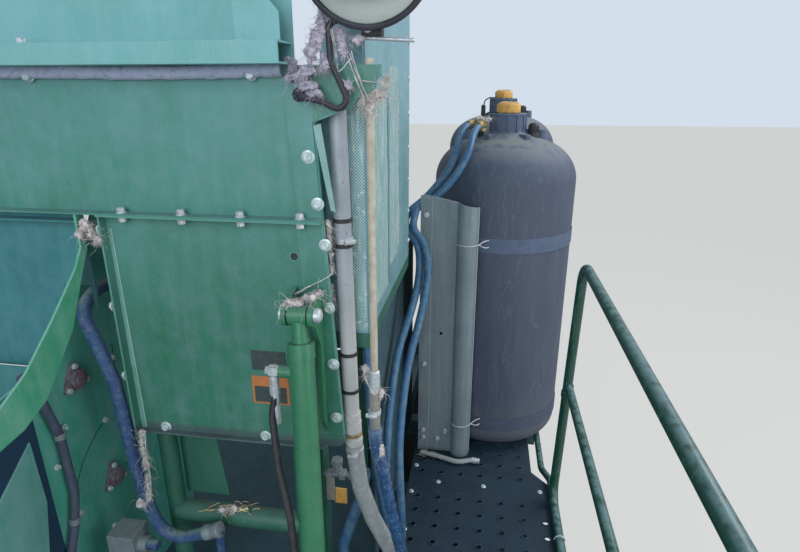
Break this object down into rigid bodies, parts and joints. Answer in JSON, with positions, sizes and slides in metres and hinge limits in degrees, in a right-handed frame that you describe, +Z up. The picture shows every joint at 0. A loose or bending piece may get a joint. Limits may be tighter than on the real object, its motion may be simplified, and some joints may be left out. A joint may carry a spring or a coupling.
{
  "type": "side service section of a cotton picker, with deck, tanks, hand rail and housing end",
  "caption": "Service deck of a cotton picker with upright tanks, hand rail, hoses, lift cylinder and green housing end on a frame.",
  "frame": {"origin": "centre of the mount plate's outer face, where the section bolts to the machine's main frame", "axes": "+X outboard across the deck, +Y forward along the machine, +Z up; the machine is on the -X side"},
  "size_m": [1.6586, 3.38, 2.251],
  "materials": {
    "frame_paint": "old dark green paint with dust",
    "deck_paint": "walked green paint with dirt",
    "panel_paint": "green enamel, sun faded",
    "pale_paint": "green enamel, chalked pale",
    "sheet_grey": "grey painted sheet",
    "tank_plastic": "rotomoulded, dusty",
    "cap_plastic": "moulded, dusty",
    "strap_rubber": "dusty rubber band",
    "hose_blue": "smooth hose, dusty",
    "hose_black": "hydraulic hose",
    "hose_grey": "ribbed hose, dusty",
    "pipe_zinc": "galvanised pipe",
    "line_tan": "dull coated line",
    "fitting_steel": "zinc plated",
    "bearing_rust": "rusted casting",
    "rod_paint": "overpainted rod end",
    "mirror_black": "black moulding",
    "mirror_face": "convex mirror"
  },
  "bodies": {
    "section": {"chassis_rails": "frame_paint", "cross_members": "frame_paint", "belly_pan": "frame_paint", "deck_plate": "deck_paint", "deck_frame": "deck_paint", "hand_rail": "panel_paint", "lower_panel": "panel_paint", "upper_panel": "panel_paint", "ledge": "pale_paint", "top_panel": "pale_paint", "left_panel": "pale_paint", "side_plate": "panel_paint", "side_guard": "pale_paint", "brace": "panel_paint", "screen_wall": "panel_paint", "corner_post": "pale_paint", "cylinder_bracket": "panel_paint", "cylinder_pins": "fitting_steel", "cylinder_barrel": "panel_paint", "cylinder_rod": "rod_paint", "cylinder_base": "frame_paint", "cylinder_hose": "hose_black", "bearing_flanges": "bearing_rust", "tube_frame": "panel_paint", "valve_blocks": "fitting_steel", "suction_hose": "hose_blue", "side_hose": "hose_black", "air_pipe": "pipe_zinc", "air_hose": "hose_grey", "pipe_clamps": "fitting_steel", "thin_line": "line_tan", "wrapped_hose": "hose_blue", "tank_hoses": "hose_blue", "tank_rear": "tank_plastic", "tank_front": "tank_plastic", "tank_straps": "strap_rubber", "tank_cradle": "sheet_grey", "drain_hose": "hose_grey", "mirror_shell": "mirror_black", "mirror_glass": "mirror_face", "mirror_arm": "mirror_black"},
    "upper_shaft": {"shaft_high": "bearing_rust"},
    "lower_shaft": {"shaft_low": "bearing_rust"},
    "rear_cap": {"cap_rear": "cap_plastic"},
    "front_cap": {"cap_front": "cap_plastic"}
  },
  "joints": [
    {"name": "upper_shaft_turn", "type": "hinge", "parent": "section", "child": "upper_shaft", "pos_m": [0.235, -0.454, 0.962], "axis": [1, 0, 0], "continuous": true},
    {"name": "lower_shaft_turn", "type": "hinge", "parent": "section", "child": "lower_shaft", "pos_m": [0.235, -0.385, 0.6], "axis": [1, 0, 0], "continuous": true},
    {"name": "rear_cap_lift", "type": "slide", "parent": "section", "child": "rear_cap", "axis": [0, 0, 1], "range_m": [0, 0.12]},
    {"name": "front_cap_lift", "type": "slide", "parent": "section", "child": "front_cap", "axis": [0, 0, 1], "range_m": [0, 0.12]}
  ]
}
